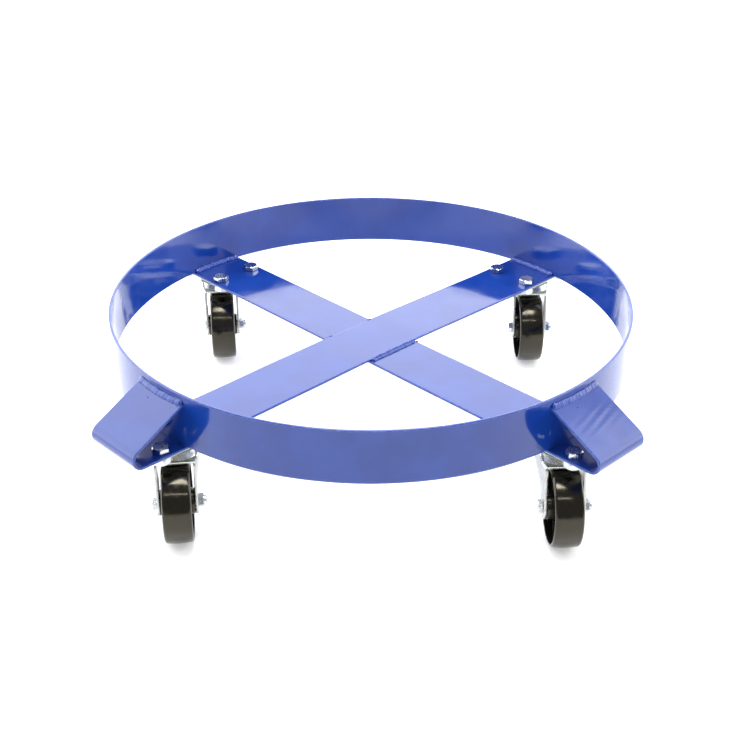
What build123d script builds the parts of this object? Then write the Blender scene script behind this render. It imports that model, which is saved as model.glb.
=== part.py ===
from build123d import *
import math
import os

os.makedirs("parts", exist_ok=True)

# ---- Frame of the part -------------------------------------------------------
# Floor at z = 0, origin on the floor under the middle of the ring, +Z up.
# +X runs along the upper cross bar, +Y along the lower cross bar.

# ---- Ring band, mm -----------------------------------------------------------
RING_OUTER_RADIUS = 305.0
RING_THICKNESS = 3.0
RING_HEIGHT = 62.0
RING_INNER_RADIUS = RING_OUTER_RADIUS - RING_THICKNESS
RING_EDGE_ROUND = 0.7

# ---- Cross bars, mm ----------------------------------------------------------
BAR_WIDTH = 75.0
BAR_THICKNESS = 3.0
HUMP_FLAT_HALF = 52.0
HUMP_RAMP_END = 232.0
FOLD_OUTER_RADIUS = 12.5
FOLD_CENTRE = 356.5
LOOP_LEG_ANGLE = 28.0

# ---- Casters, mm -------------------------------------------------------------
CASTER_HEIGHT = 113.0
CASTER_RADIUS = 292.5
TRAIL = 31.0
WHEEL_RADIUS = 45.0
TREAD_WIDTH = 31.0
SHOULDER_RADIUS = 4.0
HUB_RADIUS = 14.0
HUB_HALF_LENGTH = 18.6
RIM_RECESS_RADIUS = 40.5
WEB_HALF_THICKNESS = 4.5
RIB_COUNT = 6
RIB_THICKNESS = 3.0
RIB_HALF_WIDTH = 11.0
PLATE_LENGTH = 92.0
PLATE_WIDTH = 68.0
PLATE_THICKNESS = 2.8
PLATE_CORNER = 7.0
SHEET = 2.8
FORK_INNER_HALF = 19.0
FORK_OUTER_HALF = FORK_INNER_HALF + SHEET
LEG_END_RADIUS = 14.0
BALL_RADIUS = 3.175
UPPER_PITCH = 20.0
LOWER_PITCH = 13.0
UPPER_BALLS = 16
LOWER_BALLS = 10
KING_PIN_RADIUS = 6.0
AXLE_RADIUS = 4.0
SLEEVE_RADIUS = 6.4
WHEEL_BORE_RADIUS = 6.48
MOVING_GAP = 0.3

# ---- Plate fasteners, mm -----------------------------------------------------
BOLT_RADIUS = 5.0
BOLT_HOLE_RADIUS = 5.5
BOLT_ACROSS_FLATS = 17.0
BOLT_HEAD = 6.4
NUT_HEIGHT = 8.0
BOLT_TIP = 2.5
BOLT_HALF_ALONG = 34.5
BOLT_HALF_ACROSS = 25.0

# ---- Levels that follow from the sizes above ---------------------------------
BAR_BOTTOM = CASTER_HEIGHT
BAR_TOP = BAR_BOTTOM + BAR_THICKNESS
RING_TOP = BAR_TOP + RING_HEIGHT
AXLE_DROP = CASTER_HEIGHT - WHEEL_RADIUS
CROWN_TOP = -10.8
SHOULDER_TOP = -17.4

# Corner name: direction of its bar end from the middle, and the way its fork is
# turned about +Z (at 0 the wheel trails towards -Y).
CORNERS = {
    "front_left": (180.0, -37.0),
    "front_right": (270.0, -41.5),
    "back_left": (90.0, -37.5),
    "back_right": (0.0, -43.0),
}


def point_xz(s, z):
    """A point on the side view of a bar: s along the bar, z up."""
    return Vector(s, 0, z)


def save(shape, name):
    """Write one node as a STEP file."""
    shape.label = name
    export_step(shape, f"parts/{name}.step")


def group(solids):
    """Gather separate solids into one node without fusing them."""
    found = []
    for solid in solids:
        found.extend(solid.solids())
    return Compound(children=found)


def ring_of_copies(solid, count, start=0.0):
    """Turn copies of a solid about the Z axis."""
    return [Rot(0, 0, start + index * 360.0 / count) * solid for index in range(count)]


def revolved(points, arc=360.0):
    """Revolve a closed outline of (radius, z) points about the Z axis."""
    line = Polyline(*[point_xz(r, z) for r, z in points], close=True)
    return revolve(make_face(line), Axis.Z, revolution_arc=arc)


def torus_groove(pitch, z):
    """Room for one ball row: a torus a little fatter than the balls."""
    return Pos(0, 0, z) * Torus(pitch, BALL_RADIUS + MOVING_GAP)


# ---- Steel frame -------------------------------------------------------------
def ring_band():
    """The rolled flat band that holds the drum."""
    tube = Cylinder(RING_OUTER_RADIUS, RING_HEIGHT) - Cylinder(RING_INNER_RADIUS, RING_HEIGHT)
    tube = fillet(tube.edges().filter_by(GeomType.CIRCLE), RING_EDGE_ROUND)
    return Pos(0, 0, BAR_TOP + RING_HEIGHT / 2) * tube


def bar_half_face(hump):
    """Side view of half a bar: the flat run, the fold and the rising leg of the loop."""
    angle = math.radians(90.0 - LOOP_LEG_ANGLE)
    normal = point_xz(math.cos(angle), math.sin(angle))
    along = point_xz(-math.sin(angle), math.cos(angle))
    centre = point_xz(FOLD_CENTRE, BAR_BOTTOM + FOLD_OUTER_RADIUS)
    inner_radius = FOLD_OUTER_RADIUS - BAR_THICKNESS
    middle = math.radians((90.0 - LOOP_LEG_ANGLE - 90.0) / 2)
    side = point_xz(math.cos(middle), math.sin(middle))
    leg_length = (FOLD_CENTRE - RING_INNER_RADIUS + 14.0) / math.cos(math.radians(LOOP_LEG_ANGLE))
    outer_low = point_xz(FOLD_CENTRE, BAR_BOTTOM)
    inner_low = point_xz(FOLD_CENTRE, BAR_TOP)
    outer_high = centre + normal * FOLD_OUTER_RADIUS
    inner_high = centre + normal * inner_radius
    outer_end = outer_high + along * leg_length
    inner_end = inner_high + along * leg_length
    under = [
        point_xz(0, BAR_BOTTOM + hump),
        point_xz(HUMP_FLAT_HALF, BAR_BOTTOM + hump),
        point_xz(HUMP_RAMP_END, BAR_BOTTOM),
        outer_low,
    ]
    over = [
        inner_low,
        point_xz(HUMP_RAMP_END, BAR_TOP),
        point_xz(HUMP_FLAT_HALF, BAR_TOP + hump),
        point_xz(0, BAR_TOP + hump),
    ]
    edges = Polyline(*under).edges()
    edges += ThreePointArc(outer_low, centre + side * FOLD_OUTER_RADIUS, outer_high).edges()
    edges += Polyline(outer_high, outer_end, inner_end, inner_high).edges()
    edges += ThreePointArc(inner_high, centre + side * inner_radius, inner_low).edges()
    edges += Polyline(*over).edges()
    edges += Line(over[-1], under[0]).edges()
    return Face(Wire(edges))


def cross_bar(hump):
    """A flat bar along X with a closed loop folded up at each end."""
    half = extrude(bar_half_face(hump), BAR_WIDTH / 2, dir=(0, 1, 0), both=True)
    trim = Cylinder(RING_OUTER_RADIUS, RING_HEIGHT) - Cylinder(RING_OUTER_RADIUS - 50.0, RING_HEIGHT)
    half -= Pos(0, 0, RING_TOP) * trim
    for along in (CASTER_RADIUS - BOLT_HALF_ALONG, CASTER_RADIUS + BOLT_HALF_ALONG):
        for across in (-BOLT_HALF_ACROSS, BOLT_HALF_ACROSS):
            hole = Cylinder(BOLT_HOLE_RADIUS, BAR_THICKNESS + 0.8)
            half -= Pos(along, across, BAR_BOTTOM + BAR_THICKNESS / 2) * hole
    return half + mirror(half, about=Plane.YZ)


def ring_welds():
    """Fillet beads on the bar tops along the inside of the ring."""
    leg = 6.0
    sweep = 2 * math.degrees(math.asin((BAR_WIDTH / 2 - 1.5) / RING_INNER_RADIUS))
    outline = [
        (RING_INNER_RADIUS, BAR_TOP),
        (RING_INNER_RADIUS - leg, BAR_TOP),
        (RING_INNER_RADIUS - 0.75 * leg, BAR_TOP + 0.45 * leg),
        (RING_INNER_RADIUS - 0.45 * leg, BAR_TOP + 0.75 * leg),
        (RING_INNER_RADIUS, BAR_TOP + leg),
    ]
    bead = Rot(0, 0, -sweep / 2) * revolved(outline, sweep)
    return ring_of_copies(bead, 4)


def loop_welds(ring, bars):
    """Fillet beads where each loop's leg meets the outside of the ring."""
    slope = math.radians(LOOP_LEG_ANGLE)
    seat = BAR_BOTTOM + FOLD_OUTER_RADIUS + FOLD_OUTER_RADIUS / math.cos(slope)
    seat += (FOLD_CENTRE - RING_OUTER_RADIUS) * math.tan(slope)
    leg = 5.5
    sweep = 2 * math.degrees(math.asin((BAR_WIDTH / 2 - 1.0) / RING_OUTER_RADIUS))
    low_r = RING_OUTER_RADIUS + leg * math.cos(slope)
    low_z = seat - leg * math.sin(slope)
    outline = [
        (RING_OUTER_RADIUS, seat - 2.0),
        (low_r, low_z - 1.0),
        (low_r, low_z + 0.6),
        (RING_OUTER_RADIUS + 0.55 * leg, seat + 0.35 * leg),
        (RING_OUTER_RADIUS, seat + leg),
    ]
    bead = Rot(0, 0, -sweep / 2) * revolved(outline, sweep)
    beads = []
    for index in range(4):
        bar = bars[index % 2]
        beads.append(Rot(0, 0, 90.0 * index) * bead - bar - ring)
    return beads


def centre_welds():
    """One full bead and two tacks where the upper bar lies over the lower bar."""
    tall = BAR_THICKNESS - 0.3
    wide = 4.6
    edge = BAR_WIDTH / 2
    beads = []
    for side, centre, length in ((-1, 0.0, 72.0), (1, -32.0, 9.0), (1, 32.0, 9.0)):
        line = Polyline(
            Vector(0, side * edge, BAR_TOP),
            Vector(0, side * (edge + wide), BAR_TOP),
            Vector(0, side * (edge + 0.45 * wide), BAR_TOP + 0.7 * tall),
            Vector(0, side * edge, BAR_TOP + tall),
            close=True,
        )
        bead = extrude(make_face(line), length / 2, dir=(1, 0, 0), both=True)
        beads.append(Pos(centre, 0, 0) * bead)
    return beads


# ---- Fasteners ---------------------------------------------------------------
def hexagon(across_flats, height, crown=True):
    """A hexagon standing on z = 0, its top corners turned off like a real head."""
    body = extrude(RegularPolygon(across_flats / 2, 6, major_radius=False), height)
    corner = across_flats / math.sqrt(3.0)
    turned = Pos(0, 0, height / 2) * Cylinder(corner, height)
    ends = turned.edges().filter_by(GeomType.CIRCLE).sort_by(Axis.Z)
    chosen = ends[-1:] if crown else ends
    turned = chamfer(chosen, 0.55 * (corner - across_flats / 2), 2.0 * (corner - across_flats / 2))
    return body & turned


def plate_bolt():
    """Hex bolt with its head on the bar top, z = 0 at the bar top."""
    length = BAR_THICKNESS + PLATE_THICKNESS + NUT_HEIGHT + BOLT_TIP
    shank = Pos(0, 0, -length / 2) * Cylinder(BOLT_RADIUS, length)
    shank = chamfer(shank.edges().filter_by(GeomType.CIRCLE).sort_by(Axis.Z)[0], 0.8)
    return hexagon(BOLT_ACROSS_FLATS, BOLT_HEAD) + shank


def plate_nut():
    """Hex nut under the caster plate, z = 0 at its upper face."""
    nut = Pos(0, 0, -NUT_HEIGHT) * hexagon(BOLT_ACROSS_FLATS, NUT_HEIGHT, crown=False)
    return nut - Pos(0, 0, -NUT_HEIGHT / 2) * Cylinder(BOLT_RADIUS, NUT_HEIGHT + 2)


def bolt_places(direction):
    """The four bolt positions of the caster on the bar end in this direction."""
    places = []
    for along in (-BOLT_HALF_ALONG, BOLT_HALF_ALONG):
        for across in (-BOLT_HALF_ACROSS, BOLT_HALF_ACROSS):
            places.append(Rot(0, 0, direction) * Pos(CASTER_RADIUS + along, across, 0))
    return places


# ---- Caster, z = 0 at the top of its plate, swivel axis on Z ------------------
def top_plate():
    """Fixed plate with bolt holes and the pressed upper race."""
    outline = RectangleRounded(PLATE_LENGTH, PLATE_WIDTH, PLATE_CORNER)
    plate = Pos(0, 0, -PLATE_THICKNESS) * extrude(outline, PLATE_THICKNESS)
    depth = -PLATE_THICKNESS - CROWN_TOP - 4.2
    race = Cylinder(24.0, depth) - Cylinder(15.0, depth)
    plate += Pos(0, 0, -PLATE_THICKNESS - depth / 2) * race
    plate -= torus_groove(UPPER_PITCH, CROWN_TOP + 2.2)
    plate -= Pos(0, 0, -PLATE_THICKNESS / 2) * Cylinder(KING_PIN_RADIUS, PLATE_THICKNESS)
    for along in (-BOLT_HALF_ALONG, BOLT_HALF_ALONG):
        for across in (-BOLT_HALF_ACROSS, BOLT_HALF_ACROSS):
            hole = Cylinder(BOLT_HOLE_RADIUS, PLATE_THICKNESS)
            plate -= Pos(along, across, -PLATE_THICKNESS / 2) * hole
    return plate


def dust_ring():
    """Thin ring that closes the ball race, fixed under the plate."""
    height = -PLATE_THICKNESS - CROWN_TOP - MOVING_GAP
    ring = Cylinder(26.4, height) - Cylinder(24.4, height)
    return Pos(0, 0, -PLATE_THICKNESS - height / 2) * ring


def bearing_balls():
    """Both rows of balls as separate solids."""
    upper = Pos(UPPER_PITCH, 0, CROWN_TOP + 2.2) * Sphere(BALL_RADIUS)
    lower = Pos(LOWER_PITCH, 0, CROWN_TOP - SHEET - 2.2) * Sphere(BALL_RADIUS)
    return ring_of_copies(upper, UPPER_BALLS) + ring_of_copies(lower, LOWER_BALLS)


def lower_race():
    """Cup washer that carries the lower ball row on the king pin."""
    top = CROWN_TOP - SHEET - 4.4 + 1.0
    cup = revolved(
        [
            (KING_PIN_RADIUS, top - 2.6),
            (18.0, top - 2.6),
            (18.0, top + 0.6),
            (16.4, top + 0.6),
            (16.4, top),
            (KING_PIN_RADIUS, top),
        ]
    )
    return cup - torus_groove(LOWER_PITCH, CROWN_TOP - SHEET - 2.2)


def king_pin():
    """Rivet that ties the plate, the fork and the lower race together."""
    cup_under = CROWN_TOP - SHEET - 4.4 + 1.0 - 2.6
    return revolved(
        [
            (0.0, -0.2),
            (KING_PIN_RADIUS, -0.2),
            (KING_PIN_RADIUS, cup_under),
            (10.0, cup_under),
            (9.0, cup_under - 2.4),
            (6.0, cup_under - 3.6),
            (0.0, cup_under - 3.8),
        ]
    )


def leg_section(side, z, bow):
    """Plan of one fork leg at height z, bowed outwards around the race."""
    outer = [(-48.0, 0.0), (-33.0, 0.0), (-10.0, 0.86 * bow), (8.0, bow), (26.0, 0.8 * bow)]
    points = [Vector(side * (FORK_OUTER_HALF + push), y, z) for y, push in outer]
    inside = [Vector(p.X - side * SHEET, p.Y, z) for p in points]
    edges = [
        Spline(*points),
        Line(points[-1], inside[-1]),
        Spline(*inside[::-1]),
        Line(inside[0], points[0]),
    ]
    return make_face(edges)


def fork_leg(side):
    """One leg: bowed at the top, flat at the axle, cut to its side view."""
    levels = ((SHOULDER_TOP, 5.6), (-34.0, 4.4), (-58.0, 0.0), (-84.0, 0.0))
    blank = None
    for (z_high, bow_high), (z_low, bow_low) in zip(levels, levels[1:]):
        block = loft([leg_section(side, z_high, bow_high), leg_section(side, z_low, bow_low)])
        blank = block if blank is None else blank + block
    axle = Vector(0, -TRAIL, -AXLE_DROP)
    front = axle + Vector(0, -LEG_END_RADIUS * 0.985, LEG_END_RADIUS * 0.17)
    back = axle + Vector(0, LEG_END_RADIUS * 0.93, LEG_END_RADIUS * 0.37)
    foot = axle + Vector(0, 0, -LEG_END_RADIUS)
    top_front = Vector(0, -33.0, SHOULDER_TOP)
    top_back = Vector(0, 22.0, SHOULDER_TOP)
    hip = Vector(0, 20.0, -33.0)
    edges = [
        Line(top_back, top_front),
        Line(top_front, front),
        ThreePointArc(front, foot, back),
        Spline(back, Vector(0, -10.0, -51.5), Vector(0, 9.0, -42.5), hip),
        Line(hip, top_back),
    ]
    view = extrude(make_face(edges), 40.0, dir=(side, 0, 0))
    return blank & view


def swivel_fork():
    """Pressed fork: raised ball-race crown, flat shoulders and two legs."""
    half_width = FORK_OUTER_HALF
    rim = [(-33.0, half_width), (-10.0, half_width + 4.8), (8.0, half_width + 5.6), (22.0, half_width + 4.7)]
    right = [Vector(x, y, SHOULDER_TOP) for y, x in rim]
    left = [Vector(-x, y, SHOULDER_TOP) for y, x in rim]
    plan = make_face(
        [
            Spline(*right),
            Line(right[-1], left[-1]),
            Spline(*left[::-1]),
            Line(left[0], right[0]),
        ]
    )
    shoulders = extrude(plan, SHEET, dir=(0, 0, -1))
    shoulders -= Pos(0, 0, SHOULDER_TOP - SHEET / 2) * Cylinder(25.0, SHEET + 2)
    crown = revolved(
        [
            (KING_PIN_RADIUS + MOVING_GAP, CROWN_TOP),
            (26.5, CROWN_TOP),
            (29.5, CROWN_TOP - 2.4),
            (31.0, SHOULDER_TOP),
            (31.0, SHOULDER_TOP - SHEET),
            (27.5, SHOULDER_TOP - SHEET),
            (26.6, CROWN_TOP - SHEET - 1.6),
            (24.6, CROWN_TOP - SHEET),
            (KING_PIN_RADIUS + MOVING_GAP, CROWN_TOP - SHEET),
        ]
    )
    crown &= Pos(0, -5.5, -20) * Box(120, 55.0, 60)
    fork = shoulders + crown + fork_leg(1) + fork_leg(-1)
    fork -= torus_groove(UPPER_PITCH, CROWN_TOP + 2.2)
    fork -= torus_groove(LOWER_PITCH, CROWN_TOP - SHEET - 2.2)
    fork -= Pos(0, -TRAIL, -AXLE_DROP) * Rot(0, 90, 0) * Cylinder(AXLE_RADIUS, 80.0)
    return fork


def on_axle(shape):
    """Stand a shape made about the Z axis on the axle line, its +Z along +X."""
    return Pos(0, -TRAIL, -AXLE_DROP) * Rot(0, 90, 0) * shape


def axle_bolt():
    """Hex bolt through fork and wheel, head on the -X side."""
    head = 5.3
    reach = FORK_OUTER_HALF + 9.6
    bolt = Pos(0, 0, -FORK_OUTER_HALF) * Rot(180, 0, 0) * hexagon(13.0, head)
    shank = Pos(0, 0, (reach - FORK_OUTER_HALF) / 2) * Cylinder(AXLE_RADIUS, reach + FORK_OUTER_HALF)
    return on_axle(bolt + shank)


def axle_nut():
    """Lock nut: hexagon with a rounded collar, on the +X side."""
    nut = hexagon(13.0, 6.2, crown=False)
    collar = revolved([(0, 0), (6.1, 0), (6.1, 7.4), (5.2, 8.3), (0, 8.3)])
    nut = nut + collar
    nut -= Pos(0, 0, 4) * Cylinder(AXLE_RADIUS, 12.0)
    return on_axle(Pos(0, 0, FORK_OUTER_HALF) * nut)


def axle_sleeve():
    """Steel bush clamped between the fork legs, on which the wheel turns."""
    sleeve = Cylinder(SLEEVE_RADIUS, 2 * FORK_INNER_HALF)
    sleeve -= Cylinder(AXLE_RADIUS, 2 * FORK_INNER_HALF)
    return on_axle(sleeve)


def wheel():
    """Moulded wheel: smooth tread, dished sides, hub and ribs."""
    half = TREAD_WIDTH / 2
    body = Cylinder(WHEEL_RADIUS, TREAD_WIDTH)
    body = fillet(body.edges().filter_by(GeomType.CIRCLE), SHOULDER_RADIUS)
    depth = half - WEB_HALF_THICKNESS
    for side in (-1, 1):
        recess = Cylinder(RIM_RECESS_RADIUS, depth) - Cylinder(HUB_RADIUS, depth)
        body -= Pos(0, 0, side * (half - depth / 2)) * recess
    body += Cylinder(HUB_RADIUS, 2 * HUB_HALF_LENGTH)
    reach = RIM_RECESS_RADIUS - HUB_RADIUS + 2.0
    rib = Pos(HUB_RADIUS - 1.0 + reach / 2, 0, 0) * Box(reach, RIB_THICKNESS, 2 * RIB_HALF_WIDTH)
    for one in ring_of_copies(rib, RIB_COUNT):
        body += one
    body -= Cylinder(WHEEL_BORE_RADIUS, 60.0)
    return on_axle(body)


# ---- Build and write ---------------------------------------------------------
ring = ring_band()
upper_bar = cross_bar(BAR_THICKNESS)
lower_bar = Rot(0, 0, 90) * cross_bar(0.0)
save(ring, "ring_band")
save(upper_bar, "cross_bar_upper")
save(lower_bar, "cross_bar_lower")
save(group(ring_welds()), "ring_weld_beads")
save(group(loop_welds(ring, (upper_bar, lower_bar))), "loop_weld_beads")
save(group(centre_welds()), "centre_weld_beads")

bolts = []
nuts = []
for direction, _ in CORNERS.values():
    for place in bolt_places(direction):
        bolts.append(Pos(0, 0, BAR_TOP) * place * plate_bolt())
        nuts.append(Pos(0, 0, BAR_BOTTOM - PLATE_THICKNESS) * place * plate_nut())
save(group(bolts), "plate_bolts")
save(group(nuts), "plate_nuts")

for corner, (direction, heading) in CORNERS.items():
    spot = Rot(0, 0, direction) * Pos(CASTER_RADIUS, 0, CASTER_HEIGHT)
    centre = spot.position
    fixed = Pos(centre.X, centre.Y, centre.Z) * Rot(0, 0, direction)
    turned = Pos(centre.X, centre.Y, centre.Z) * Rot(0, 0, heading)
    save(fixed * top_plate(), f"{corner}_top_plate")
    save(fixed * dust_ring(), f"{corner}_dust_ring")
    save(fixed * lower_race(), f"{corner}_lower_race")
    save(fixed * king_pin(), f"{corner}_king_pin")
    save(group([fixed * ball for ball in bearing_balls()]), f"{corner}_bearing_balls")
    save(turned * swivel_fork(), f"{corner}_swivel_fork")
    save(turned * axle_bolt(), f"{corner}_axle_bolt")
    save(turned * axle_nut(), f"{corner}_axle_nut")
    save(turned * axle_sleeve(), f"{corner}_axle_sleeve")
    save(turned * wheel(), f"{corner}_wheel")
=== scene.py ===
"""Looks of the drum dolly: painted ring and bars, welds, zinc fasteners, casters and studio."""

import logging
import math
from dataclasses import dataclass, field
from enum import Enum
from typing import Any, Sequence

import bmesh
import bpy
import numpy as np
from mathutils import Matrix, Vector


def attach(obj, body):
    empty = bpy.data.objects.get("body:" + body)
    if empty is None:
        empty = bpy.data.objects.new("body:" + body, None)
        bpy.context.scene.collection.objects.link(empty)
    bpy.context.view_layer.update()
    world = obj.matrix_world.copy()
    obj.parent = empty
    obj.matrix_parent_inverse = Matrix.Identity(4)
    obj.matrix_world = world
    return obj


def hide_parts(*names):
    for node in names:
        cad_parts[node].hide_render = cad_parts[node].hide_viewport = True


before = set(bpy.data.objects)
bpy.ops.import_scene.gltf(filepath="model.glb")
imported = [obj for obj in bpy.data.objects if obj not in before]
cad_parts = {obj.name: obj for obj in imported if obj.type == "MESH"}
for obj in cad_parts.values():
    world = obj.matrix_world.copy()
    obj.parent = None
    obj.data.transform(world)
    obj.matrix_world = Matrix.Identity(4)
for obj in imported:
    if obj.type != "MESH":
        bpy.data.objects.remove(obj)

log = logging.getLogger("drum_dolly")

Array = np.ndarray
Tree = bpy.types.NodeTree
Socket = bpy.types.NodeSocket
Material = bpy.types.Material
MM = 0.001
TAU = 2.0 * math.pi


class Slot(Enum):
    """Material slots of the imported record."""

    PAINT = "blue_paint"
    WELD = "blue_weld"
    ZINC_SHEET = "zinc_sheet"
    ZINC_RACE = "zinc_race"
    FASTENER = "zinc_fastener"
    BALLS = "ball_steel"
    WHEEL = "black_wheel"


class Corner(Enum):
    """The four casters, named by where they stand."""

    FRONT_LEFT = "front_left"
    FRONT_RIGHT = "front_right"
    BACK_LEFT = "back_left"
    BACK_RIGHT = "back_right"


# Small helpers
def linear(hex_code: str) -> tuple[float, float, float, float]:
    """Turn an sRGB hex colour into the linear values that shaders take.

    Args:
        hex_code: colour such as "#1A2B3C".

    Returns:
        Linear red, green and blue, and an alpha of one.
    """
    raw = np.array([int(hex_code[i:i + 2], 16) for i in (1, 3, 5)]) / 255.0
    low = raw / 12.92
    high = ((raw + 0.055) / 1.055) ** 2.4
    red, green, blue = np.where(raw <= 0.04045, low, high)
    return float(red), float(green), float(blue), 1.0


def per_metre(size_mm: float) -> float:
    """Texture scale that gives a pattern features of this size in millimetres."""
    return 1.0 / (size_mm * MM)


def smooth_step(value: Array) -> Array:
    """Clamp to 0..1 and ease both ends: 3 t squared minus 2 t cubed."""
    t = np.clip(value, 0.0, 1.0)
    return t * t * (3.0 - 2.0 * t)


def arc_points(centre: Sequence[float], radius: float, start: float, end: float, count: int) -> Array:
    """Points on a circle arc in a plane.

    Args:
        centre: centre in the plane.
        radius: arc radius.
        start: first angle in degrees.
        end: last angle in degrees.
        count: number of points.

    Returns:
        Array (count, 2): centre plus radius times (cos, sin) of evenly spaced angles.
    """
    angle = np.radians(np.linspace(start, end, count))
    return np.stack([centre[0] + radius * np.cos(angle), centre[1] + radius * np.sin(angle)], 1)


class Shell:
    """Closed skins gathered as arrays in millimetres before they become one mesh."""

    def __init__(self) -> None:
        """Start empty."""
        self.points: list[Array] = []
        self.faces: list[Array] = []
        self.edge: list[Array] = []
        self.count = 0

    def grid(self, points: Array, wrap_u: bool = False, wrap_v: bool = False,
             edge: Array | None = None, caps: bool = False) -> "Shell":
        """Add a grid of points as quads: each cell joins (u, v) to (u+1, v+1).

        Args:
            points: array (nu, nv, 3) in millimetres.
            wrap_u: join the last row to the first.
            wrap_v: join the last column to the first.
            edge: array (nu, nv), 1 on a worn edge, 0 elsewhere, -1 inside a dull dish.
            caps: close the first and last rows with fans to their middles.

        Returns:
            This shell, so that calls can be chained.
        """
        nu, nv = points.shape[:2]
        index = np.arange(nu * nv).reshape(nu, nv)
        rows = np.concatenate([index, index[:1]], 0) if wrap_u else index
        full = np.concatenate([rows, rows[:, :1]], 1) if wrap_v else rows
        quads = np.stack([full[:-1, :-1], full[1:, :-1], full[1:, 1:], full[:-1, 1:]], -1).reshape(-1, 4)
        skin = points.reshape(-1, 3)
        mark = np.zeros(nu * nv) if edge is None else edge.reshape(-1)
        faces = [quads]
        if caps:
            skin = np.concatenate([skin, points[0].mean(0)[None], points[-1].mean(0)[None]])
            mark = np.concatenate([mark, [0.0, 0.0]])
            for row, hub in ((index[0], nu * nv), (index[-1], nu * nv + 1)):
                ahead = np.roll(row, -1)
                faces.append(np.stack([row, ahead, np.full(nv, hub), np.full(nv, hub)], 1))
        self.points.append(skin)
        self.edge.append(mark)
        self.faces.append(np.concatenate(faces) + self.count)
        self.count += len(skin)
        return self

    def add(self, other: "Shell", place: Array | None = None) -> "Shell":
        """Add another shell, moved by a 4x4 matrix in millimetres.

        Args:
            other: shell to copy in.
            place: matrix applied to its points, or None.

        Returns:
            This shell.
        """
        points = np.concatenate(other.points)
        self.points.append(points if place is None else points @ place[:3, :3].T + place[:3, 3])
        self.edge.append(np.concatenate(other.edge))
        self.faces.append(np.concatenate(other.faces) + self.count)
        self.count += len(points)
        return self

    def piece(self, name: str, body: str, material: Material, slot: Slot,
              nodes: Sequence[str], sharp: float = 38.0) -> bpy.types.Object:
        """Turn the gathered skins into one object that stands for CAD nodes.

        Args:
            name: object name.
            body: CAD body that it rides on.
            material: finish.
            slot: record slot of that finish; not used.
            nodes: CAD nodes that it replaces.
            sharp: edges that turn more than this many degrees stay crisp.

        Returns:
            The finished object at the origin.
        """
        points = np.concatenate(self.points) * MM
        faces = np.concatenate(self.faces)
        mesh = bpy.data.meshes.new(name)
        triangle = faces[:, 2] == faces[:, 3]
        mesh.from_pydata(points, [], faces[~triangle].tolist() + faces[triangle][:, :3].tolist())
        mark = mesh.attributes.new("edge_wear", "FLOAT", "POINT")
        mark.data.foreach_set("value", np.concatenate(self.edge).astype(np.float32))
        work = bmesh.new()
        work.from_mesh(mesh)
        bmesh.ops.remove_doubles(work, verts=work.verts, dist=2e-6)
        bmesh.ops.dissolve_degenerate(work, edges=work.edges, dist=1e-7)
        bmesh.ops.recalc_face_normals(work, faces=work.faces)
        work.to_mesh(mesh)
        work.free()
        mesh.shade_smooth()
        mesh.set_sharp_from_angle(angle=math.radians(sharp))
        mesh.materials.append(material)
        made = bpy.data.objects.new(name, mesh)
        bpy.context.scene.collection.objects.link(made)
        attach(made, body)
        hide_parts(*nodes)
        log.info("%s: %d faces, rides on %s", name, len(mesh.polygons), body)
        return made


def placed(x: float, y: float, z: float, turn: float = 0.0) -> Array:
    """4x4 matrix that turns about +Z by degrees, then moves by millimetres."""
    matrix = np.eye(4)
    c, s = math.cos(math.radians(turn)), math.sin(math.radians(turn))
    matrix[:2, :2] = [[c, -s], [s, c]]
    matrix[:3, 3] = [x, y, z]
    return matrix


def rounded_bar_outline(width: float, height: float, radius: float, across: int,
                        up: int) -> tuple[Array, Array]:
    """Closed outline of a rectangle with rounded corners: a quarter arc at each corner, then points along the side.

    Args:
        width: size along the first axis.
        height: size along the second axis.
        radius: corner radius.
        across: extra points along each width side.
        up: extra points along each height side.

    Returns:
        Array (n, 2) of the outline, and array (n,) that is 1 on the corners and 0 elsewhere.
    """
    w, h = width / 2 - radius, height / 2 - radius
    points: list[Array] = []
    marks: list[Array] = []
    for turn, corner_x, corner_y, heading, extra in (
        (0, w, h, (-1.0, 0.0), across), (90, -w, h, (0.0, -1.0), up),
        (180, -w, -h, (1.0, 0.0), across), (270, w, -h, (0.0, 1.0), up),
    ):
        corner = arc_points((corner_x, corner_y), radius, turn, turn + 90, 5)
        length = 2 * (w if heading[0] else h)
        inset = min(1.2, length * 0.2)
        reach = np.linspace(inset, length - inset, extra + 2)
        points += [corner, corner[-1] + np.array(heading) * reach[:, None]]
        marks += [np.ones(5), np.zeros(extra + 2)]
    return np.concatenate(points), np.concatenate(marks)


def revolve(profile: Array, segments: int) -> Array:
    """Carry a closed profile round the Z axis.

    Args:
        profile: array (n, 2) of radius and height.
        segments: steps round the circle.

    Returns:
        Array (segments, n, 3): radius times (cos, sin) of the angle, and the height.
    """
    angle = np.arange(segments) * TAU / segments
    r, z = profile[:, 0], profile[:, 1]
    height = np.broadcast_to(z, (segments, len(z)))
    return np.stack([np.cos(angle)[:, None] * r, np.sin(angle)[:, None] * r, height], -1)


# Finishes
def node(tree: Tree, kind: str, inputs: dict[Any, Any] | None = None, output: int = 0,
         **settings: Any) -> Socket:
    """Add a shader node with its settings and links.

    Args:
        tree: node tree to add to.
        kind: Blender's type name of the node, less its "ShaderNode".
        inputs: socket name or number to a value, or to an output socket to link.
        output: number of the output to give back.
        settings: properties of the node itself.

    Returns:
        The chosen output socket of the new node.
    """
    made = tree.nodes.new("ShaderNode" + kind)
    for name, value in settings.items():
        setattr(made, name, value)
    for key, value in (inputs or {}).items():
        if isinstance(value, Socket):
            tree.links.new(value, made.inputs[key])
        else:
            made.inputs[key].default_value = value
    return made.outputs[output]


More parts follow.
